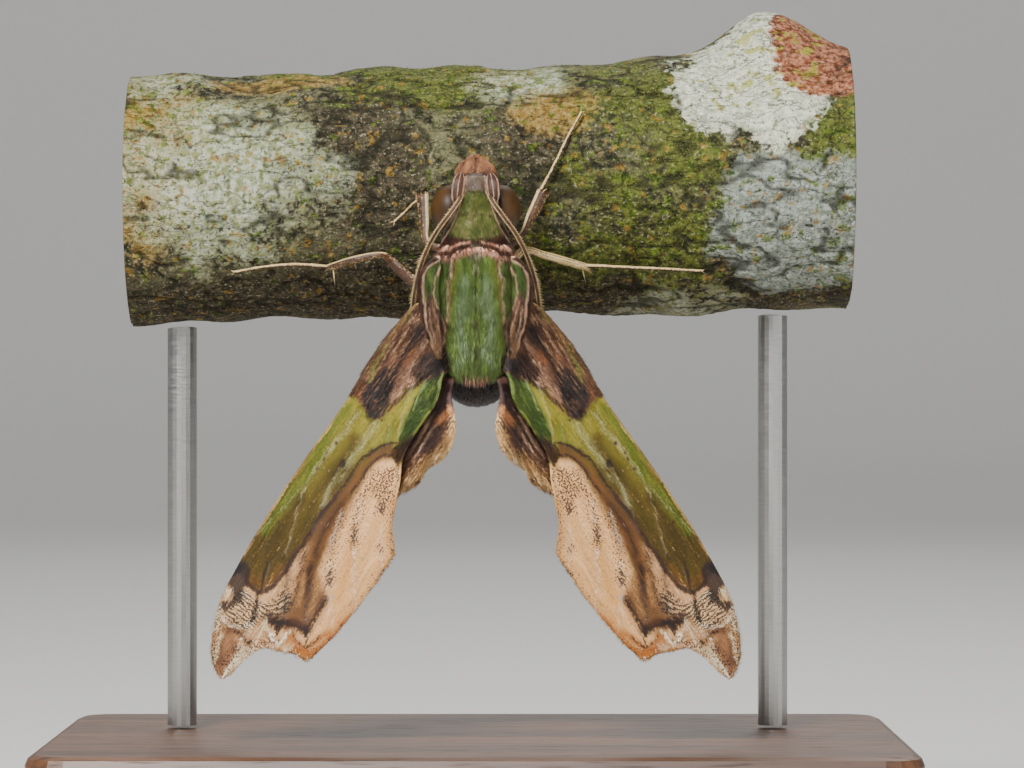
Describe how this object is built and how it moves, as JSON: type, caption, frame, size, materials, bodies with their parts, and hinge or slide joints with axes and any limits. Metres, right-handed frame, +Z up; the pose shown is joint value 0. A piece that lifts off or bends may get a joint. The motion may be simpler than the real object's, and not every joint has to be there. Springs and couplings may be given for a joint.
{
  "type": "green rippled hawkmoth on a display stand",
  "caption": "Life-size still model of a resting hawkmoth with green thorax and rippled brown and green forewings, clinging to a short perch that two rods hold above a flat base.",
  "frame": {"origin": "middle of the stand's underside, at the bottom centre of the whole model", "axes": "+X along the perch, to the right as the moth's back is seen; +Z up; the moth's back faces -Y"},
  "size_m": [0.068, 0.044, 0.0622],
  "materials": {
    "green_fur": "short soft fur of hair-like scales, moss green with pinkish cream lines",
    "brown_fur": "short soft fur of hair-like scales, dark and pinkish brown",
    "wing_scales": "fine matt scales in olive green, brown and beige with dark ripples",
    "hindwing_scales": "fine matt scales in dark and pale brown",
    "eye": "smooth glossy dark brown",
    "pale_limb": "cream and straw scales over a hard limb",
    "bark": "rough bark with moss, algae and grey-white lichen",
    "stand_wood": "oiled dark wood with a satin sheen",
    "stand_steel": "brushed along the rod"
  },
  "bodies": {
    "root": {"head": "green_fur", "collar": "green_fur", "thorax": "green_fur", "tegula_left": "green_fur", "tegula_right": "green_fur", "abdomen": "brown_fur", "palp_left": "brown_fur", "palp_right": "brown_fur", "eye_left": "eye", "eye_right": "eye", "antenna_left": "pale_limb", "antenna_right": "pale_limb", "forewing_left": "wing_scales", "forewing_right": "wing_scales", "hindwing_left": "hindwing_scales", "hindwing_right": "hindwing_scales", "leg_fore_left": "pale_limb", "leg_fore_right": "pale_limb", "leg_mid_left": "pale_limb", "leg_mid_right": "pale_limb", "leg_hind_left": "pale_limb", "leg_hind_right": "pale_limb", "perch": "bark", "stand_base": "stand_wood", "stand_rod_left": "stand_steel", "stand_rod_right": "stand_steel"}
  },
  "joints": []
}
